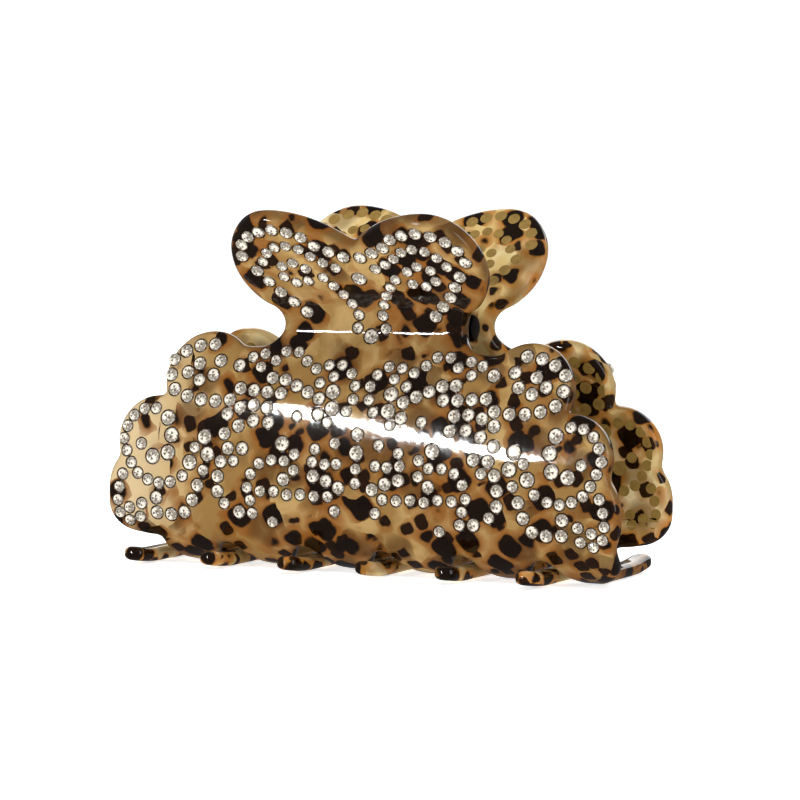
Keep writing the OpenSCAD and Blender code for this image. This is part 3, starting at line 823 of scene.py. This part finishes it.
# Bridging gives its faces in no fixed order, so a facet is told by its ring and its angle.
# STAR, SKIRT and WALL give each facet's painted sparkle: how bright its painted reflection of the foil is.
STAR = (1.0, 0.12, 0.7, 0.05, 1.0, 0.2, 0.85, 0.02)
SKIRT = (1.0, 0.06, 0.06, 1.0, 1.0, 0.45, 0.45, 0.8, 0.12, 1.0, 1.0, 0.3, 0.3, 1.0, 1.0, 0.06)
WALL = (1.0, 1.0, 0.45, 0.06, 0.12, 0.45, 1.0, 1.0, 0.8, 1.0, 0.3, 0.8, 0.8, 0.06, 1.0, 0.8)
foil = crystal.data.attributes.new("foil", "FLOAT", "FACE")
for face in crystal.data.polygons:
    x, y, z = face.center
    sixteenth = int((atan2(y, x) + pi) / (pi / 8)) % 16
    if z > TABLE_Z - 0.02:
        painted_sparkle = STAR[int(atan2(y, x) / (pi / 4)) % 8]
    elif z > 0.2:
        # The crown's facets get a painted highlight on one side and painted shade on the other.
        painted_sparkle = 1.0 if y < -0.05 else 0.3
    else:
        painted_sparkle = SKIRT[sixteenth] if z > 0 else WALL[sixteenth]
    foil.data[face.index].value = painted_sparkle
print(f"one crystal has {len(crystal.data.polygons)} faces")

# %% Setting the crystals
SEAT_FIT = 0.91  # how much of its seat a crystal fills across
spin = random.Random(11)
crystal_pieces = {}
for node, places in crystals_at.items():
    seated = [(point, axis, SEAT_FIT * diameter) for point, axis, diameter in places]
    crystal_pieces[node] = spread_copies(crystal, seated, node.replace("crystals", "chatons"), spin)
bpy.data.objects.remove(crystal)

# %% [markdown]
# ## The hinge
# The spring is hard-drawn wire wound into a coil, with a leg at each end that lies against a wing. A curve
# with a round bevel is a wire by nature: its points follow the winding. The last turn and the rear leg
# swing with the rear jaw. The lugs only need their sharp edges taken off, so a merged copy of each CAD node
# gets a small bevel.

# %% The spring wire
WIRE_R, COIL_R = 0.55, 2.275
TURNS, TURN_PITCH, TURN_GAP = 7, 1.25, 0.15
LEG_X, LEG_LEN = 5.3125, 15
REAR_TURN = radians(300)
LEG_GAP = 0.1  # between a leg and its wing
foot_y, foot_z = arc(NECK_C, NECK_R, pi - WING_LEAN, pi, 1)[0]
wing_off = foot_y * cos(WING_LEAN) - (foot_z - HINGE_Z) * sin(WING_LEAN)
leg_off = wing_off - HALF_T - LEG_GAP - WIRE_R
leg_lean = WING_LEAN + asin(leg_off / hypot(LEG_LEN, COIL_R)) + atan2(COIL_R, LEG_LEN)


def coil_point(x, turn):
    """A point of the coil at a turn about the hinge axis."""
    return (x, COIL_R * cos(turn), HINGE_Z + COIL_R * sin(turn))


def wire(name, points):
    """A round wire along points in mm, as a mesh."""
    curve = bpy.data.curves.new(name, "CURVE")
    curve.dimensions = "3D"
    curve.bevel_depth = WIRE_R * MM
    curve.bevel_resolution = 4
    curve.use_fill_caps = True
    spline = curve.splines.new("POLY")
    spline.points.add(len(points) - 1)
    for control, point in zip(spline.points, points):
        control.co = [c * MM for c in point] + [1]
    piece = bpy.data.objects.new(name, curve)
    bpy.context.scene.collection.objects.link(piece)
    only(piece)
    bpy.ops.object.convert(target="MESH")
    piece = bpy.context.active_object
    piece.name = piece.data.name = name
    faces_out(piece)
    smooth(piece, 50)
    return piece


foot = coil_point(-LEG_X, leg_lean)
leg_end = (foot[0], foot[1] - LEG_LEN * sin(leg_lean), foot[2] + LEG_LEN * cos(leg_lean))
count = TURNS * 36
coil = [coil_point(-LEG_X + i * TURN_PITCH / 36, leg_lean - i * pi / 18) for i in range(count + 1)]
spring = wire("spring_wire", [leg_end] + coil)
last = pi - leg_lean
coil = [coil_point(LEG_X - (1 - i / 30) * TURN_GAP, last + REAR_TURN * (1 - i / 30)) for i in range(31)]
rear_foot = coil_point(LEG_X, last)
rear_end = (rear_foot[0], rear_foot[1] + LEG_LEN * sin(leg_lean), rear_foot[2] + LEG_LEN * cos(leg_lean))
rear_leg = wire("spring_rear_wire", coil + [rear_end])


# %% The pin's heads and the lugs
def pin_head(node, side):
    """A low domed rivet head in the place of a pin cap."""
    low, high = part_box(node)
    centre = (low + high) / 2
    bpy.ops.object.select_all(action="DESELECT")
    bpy.ops.mesh.primitive_cylinder_add(
        vertices=40,
        radius=(high.y - low.y) / 2,
        depth=high.x - low.x,
        location=centre,
        rotation=(0, side * pi / 2, 0),
        end_fill_type="NGON",
    )
    head = new_piece(node + "_head")
    bpy.ops.object.transform_apply(location=True, rotation=True, scale=True)
    rim_x = centre.x + side * 0.45 * (high.x - low.x)
    pick(head, lambda co: (co.x - rim_x) * side > 0)
    bpy.ops.mesh.bevel(offset=0.6 * (high.x - low.x), segments=5, affect="EDGES")
    bpy.ops.object.mode_set(mode="OBJECT")
    smooth(head)
    return head


heads = [pin_head("pin_cap_left", -1), pin_head("pin_cap_right", 1)]


def eased_copy(node, width):
    """A copy of a CAD node, merged, with its sharp edges rounded."""
    piece = copy_of(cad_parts[node], node + "_acetate")
    piece.parent = None
    only(piece)
    bpy.ops.object.mode_set(mode="EDIT")
    bpy.ops.mesh.select_all(action="SELECT")
    bpy.ops.mesh.remove_doubles(threshold=0.01 * MM)
    bpy.ops.mesh.dissolve_limited(angle_limit=radians(1))
    bpy.ops.object.mode_set(mode="OBJECT")
    corner = radians(40)
    apply_modifier(piece, "BEVEL", width=width * MM, segments=3, limit_method="ANGLE", angle_limit=corner)
    smooth(piece)
    return piece


LUGS = ("front_lug_left", "front_lug_right", "rear_lug_left", "rear_lug_right")
lugs = {node: eased_copy(node, 0.35) for node in LUGS}

# %% [markdown]
# ## Crystal glass, steel and plastic
# The crystal's foil makes it act as part mirror and part white glass. Its facet number picks between a
# dark and a bright colour, painted shade and painted highlights of the foil. The spring is drawn steel, whose
# fine lines run round it. The pin is nickel-plated, its heads are blackened, and the sleeve is a plain
# moulded nylon tube.

# %% Crystal
crystal_glass, tree, output = new_material("foil_backed_crystal_glass")
# The "foil" number picks each facet's colour between painted shade and a painted highlight.
facet = add(tree, "ShaderNodeAttribute", {"attribute_name": "foil"})
painted_sparkle = add(
    tree,
    "ShaderNodeMix",
    {"data_type": "RGBA"},
    {6: colour("#594a38"), 7: colour("#fff7e8")},
    {0: (facet, "Fac")},
)
shader = add(
    tree,
    "ShaderNodeBsdfPrincipled",
    {},
    {"Metallic": 0.12, "Roughness": 0.06, "IOR": 1.55, "Coat Weight": 0.6, "Coat Roughness": 0.02},
    {"Base Color": (painted_sparkle, 2)},
)
tree.links.new(shader.outputs[0], output.inputs["Surface"])


# %% Metals and nylon
def metal(name, code, roughness, line_mm):
    """A bright metal with fine lines across X."""
    material, tree, output = new_material(name)
    spot = add(tree, "ShaderNodeTexCoord")
    drawn = add(tree, "ShaderNodeMapping", {}, {"Scale": (1, 0.1, 0.1)}, {"Vector": (spot, "Object")})
    lines = add(
        tree,
        "ShaderNodeTexNoise",
        {},
        {"Scale": 1 / (line_mm * MM), "Detail": 3},
        {"Vector": (drawn, "Vector")},
    )
    rough = add(
        tree,
        "ShaderNodeMapRange",
        {},
        {"To Min": roughness * 0.7, "To Max": roughness * 1.4},
        {"Value": (lines, 0)},
    )
    grooves = add(
        tree, "ShaderNodeBump", {}, {"Strength": 0.15, "Distance": 0.02 * MM}, {"Height": (lines, 0)}
    )
    shader = add(
        tree,
        "ShaderNodeBsdfPrincipled",
        {},
        {"Base Color": colour(code), "Metallic": 1.0},
        {"Roughness": (rough, "Result"), "Normal": (grooves, "Normal")},
    )
    tree.links.new(shader.outputs[0], output.inputs["Surface"])
    return material


spring_steel = metal("drawn_spring_steel", "#aeb0b2", 0.3, 0.2)
plated_steel = metal("nickel_plated_steel", "#cfccc4", 0.16, 0.3)
blackened_steel = metal("blackened_steel", "#0b0908", 0.3, 0.3)

nylon, tree, output = new_material("moulded_nylon")
spot = add(tree, "ShaderNodeTexCoord")
grain = add(
    tree, "ShaderNodeTexNoise", {}, {"Scale": 1 / (0.4 * MM), "Detail": 2}, {"Vector": (spot, "Object")}
)
mix = add(
    tree,
    "ShaderNodeMix",
    {"data_type": "RGBA"},
    {6: colour("#d9d2c0"), 7: colour("#ebe6d8")},
    {0: (grain, 0)},
)
shader = add(
    tree,
    "ShaderNodeBsdfPrincipled",
    {},
    {"Roughness": 0.45, "IOR": 1.53, "Subsurface Weight": 0.2, "Subsurface Scale": 1 * MM},
    {"Base Color": (mix, 2)},
)
tree.links.new(shader.outputs[0], output.inputs["Surface"])

# %% [markdown]
# ## Putting the pieces on their bodies
# Each piece rides on the half of the clip that it moves with, and stands in for the CAD node that it
# replaces. The pin and the sleeve keep their CAD shapes.

# %% Bodies and materials
def hand_over(piece, body, slot, node, *materials):
    """Gives a piece its body, the node that it replaces and its materials; its slot is not used."""
    dress(piece, *materials)
    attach(piece, body)
    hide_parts(node)


hand_over(jaw, "front_half", "front_acetate", "front_jaw", front_acetate, front_glue)
hand_over(rear_jaw, "rear_half", "rear_acetate", "rear_jaw", rear_acetate, rear_glue_with_painted_backlight)
for node, piece in crystal_pieces.items():
    hand_over(piece, node.split("_")[0] + "_half", "crystal", node, crystal_glass)
for node, piece in lugs.items():
    hand_over(piece, node.split("_")[0] + "_half", "lug_acetate", node, lug_acetate)
for node, piece in zip(("pin_cap_left", "pin_cap_right"), heads):
    hand_over(piece, "front_half", "pin_steel", node, blackened_steel)
hand_over(spring, "front_half", "spring_steel", "torsion_spring", spring_steel)
hand_over(rear_leg, "rear_half", "spring_steel", "spring_rear_leg", spring_steel)
dress(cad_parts["hinge_pin"], plated_steel)
dress(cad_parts["spring_sleeve"], nylon)

# %% [markdown]
# ## The studio
# The clip stands on a white sweep that lights it softly from below and behind. The sweep and the overhead
# lamp are left out of mirror reflections, as black cards would do in a studio, so that the dark chips stay
# dark. A narrow strip lamp up to the left draws the long reflection over the belly and a thin one in the
# neck fold. Wide soft lamps above and to the right fill the shade and give the rims their edges of light.

# %% Floor and backdrop
bpy.ops.object.select_all(action="DESELECT")
bpy.ops.mesh.primitive_plane_add(size=8, location=(0, -1, -0.05 * MM))
sweep = new_piece("studio_sweep")
bpy.ops.object.transform_apply(location=True, rotation=True, scale=True)
pick(sweep, lambda co: co.y > 2.9)
bpy.ops.mesh.extrude_region_move(TRANSFORM_OT_translate={"value": (0, 0, 4)})
pick(sweep, lambda co: co.y > 2.9 and co.z < 1)
bpy.ops.mesh.bevel(offset=1.0, segments=16, affect="EDGES")
bpy.ops.object.mode_set(mode="OBJECT")
smooth(sweep, 60)
paper, tree, output = new_material("white_paper_sweep")
shader = add(
    tree,
    "ShaderNodeBsdfPrincipled",
    {},
    {
        "Base Color": colour("#f4f4f4"),
        "Roughness": 0.9,
        "Emission Color": colour("#ffffff"),
        "Emission Strength": 0.72,
    },
)
tree.links.new(shader.outputs[0], output.inputs["Surface"])
dress(sweep, paper)
sweep.visible_glossy = False


# %% Lamps
def softbox(name, place, aim, size, watts, roll=0.0):
    """A rectangular area lamp at a place, turned to its aim and rolled about its own axis."""
    lamp = bpy.data.lights.new(name, "AREA")
    lamp.shape = "RECTANGLE"
    lamp.size, lamp.size_y = size
    lamp.energy = watts
    piece = bpy.data.objects.new(name, lamp)
    bpy.context.scene.collection.objects.link(piece)
    way = (Vector(aim) - Vector(place)).to_track_quat("-Z", "Y")
    piece.matrix_world = Matrix.Translation(place) @ way.to_matrix().to_4x4() @ Matrix.Rotation(roll, 4, "Z")
    return piece


softbox("strip", (-0.2, -0.45, 0.141), (0, 0, 0.025), (0.14, 0.012), 0.8, -0.93)
overhead = softbox("overhead", (0.05, -0.15, 0.7), (0, 0, 0.03), (0.7, 0.5), 3.9)
overhead.visible_glossy = False
softbox("right_fill", (0.75, -0.2, 0.25), (0, 0, 0.03), (0.25, 0.5), 0.9)
softbox("back_glow", (-0.1, 0.7, 0.35), (0, 0, 0.03), (0.8, 0.4), 2.0)

world = bpy.data.worlds.new("studio_room")
bpy.context.scene.world = world
world.use_nodes = True
world.node_tree.nodes["Background"].inputs[0].default_value = colour("#c4c6c9")
world.node_tree.nodes["Background"].inputs[1].default_value = 0.2
bpy.context.scene.view_settings.view_transform = "Standard"

# %% [markdown]
# ## The camera
# A long lens from a little above the clip's middle and from its right. The turn, the height and the slight
# roll are the ones that the clip is best seen from, and the lens is long, so the two jaws keep nearly the
# same scale.

# %% Camera
CAM_AZ, CAM_EL, CAM_ROLL = radians(24.57), radians(4.25), radians(0.645)
CAM_PLACE = (0.28624, -0.62178, 0.07858)
lens_data = bpy.data.cameras.new("camera")
lens_data.lens = 188.26
lens_data.sensor_width = 36
lens_data.clip_start, lens_data.clip_end = 0.05, 20
camera = bpy.data.objects.new("camera", lens_data)
bpy.context.scene.collection.objects.link(camera)
forward = Vector((-sin(CAM_AZ) * cos(CAM_EL), cos(CAM_AZ) * cos(CAM_EL), -sin(CAM_EL)))
level = Vector((cos(CAM_AZ), sin(CAM_AZ), 0))
upright = level.cross(forward)
right = level * cos(CAM_ROLL) + upright * sin(CAM_ROLL)
up = upright * cos(CAM_ROLL) - level * sin(CAM_ROLL)
axes = Matrix((right, up, -forward)).transposed().to_4x4()
camera.matrix_world = Matrix.Translation(CAM_PLACE) @ axes
bpy.context.scene.camera = camera

# %% The end
bpy.context.view_layer.update()
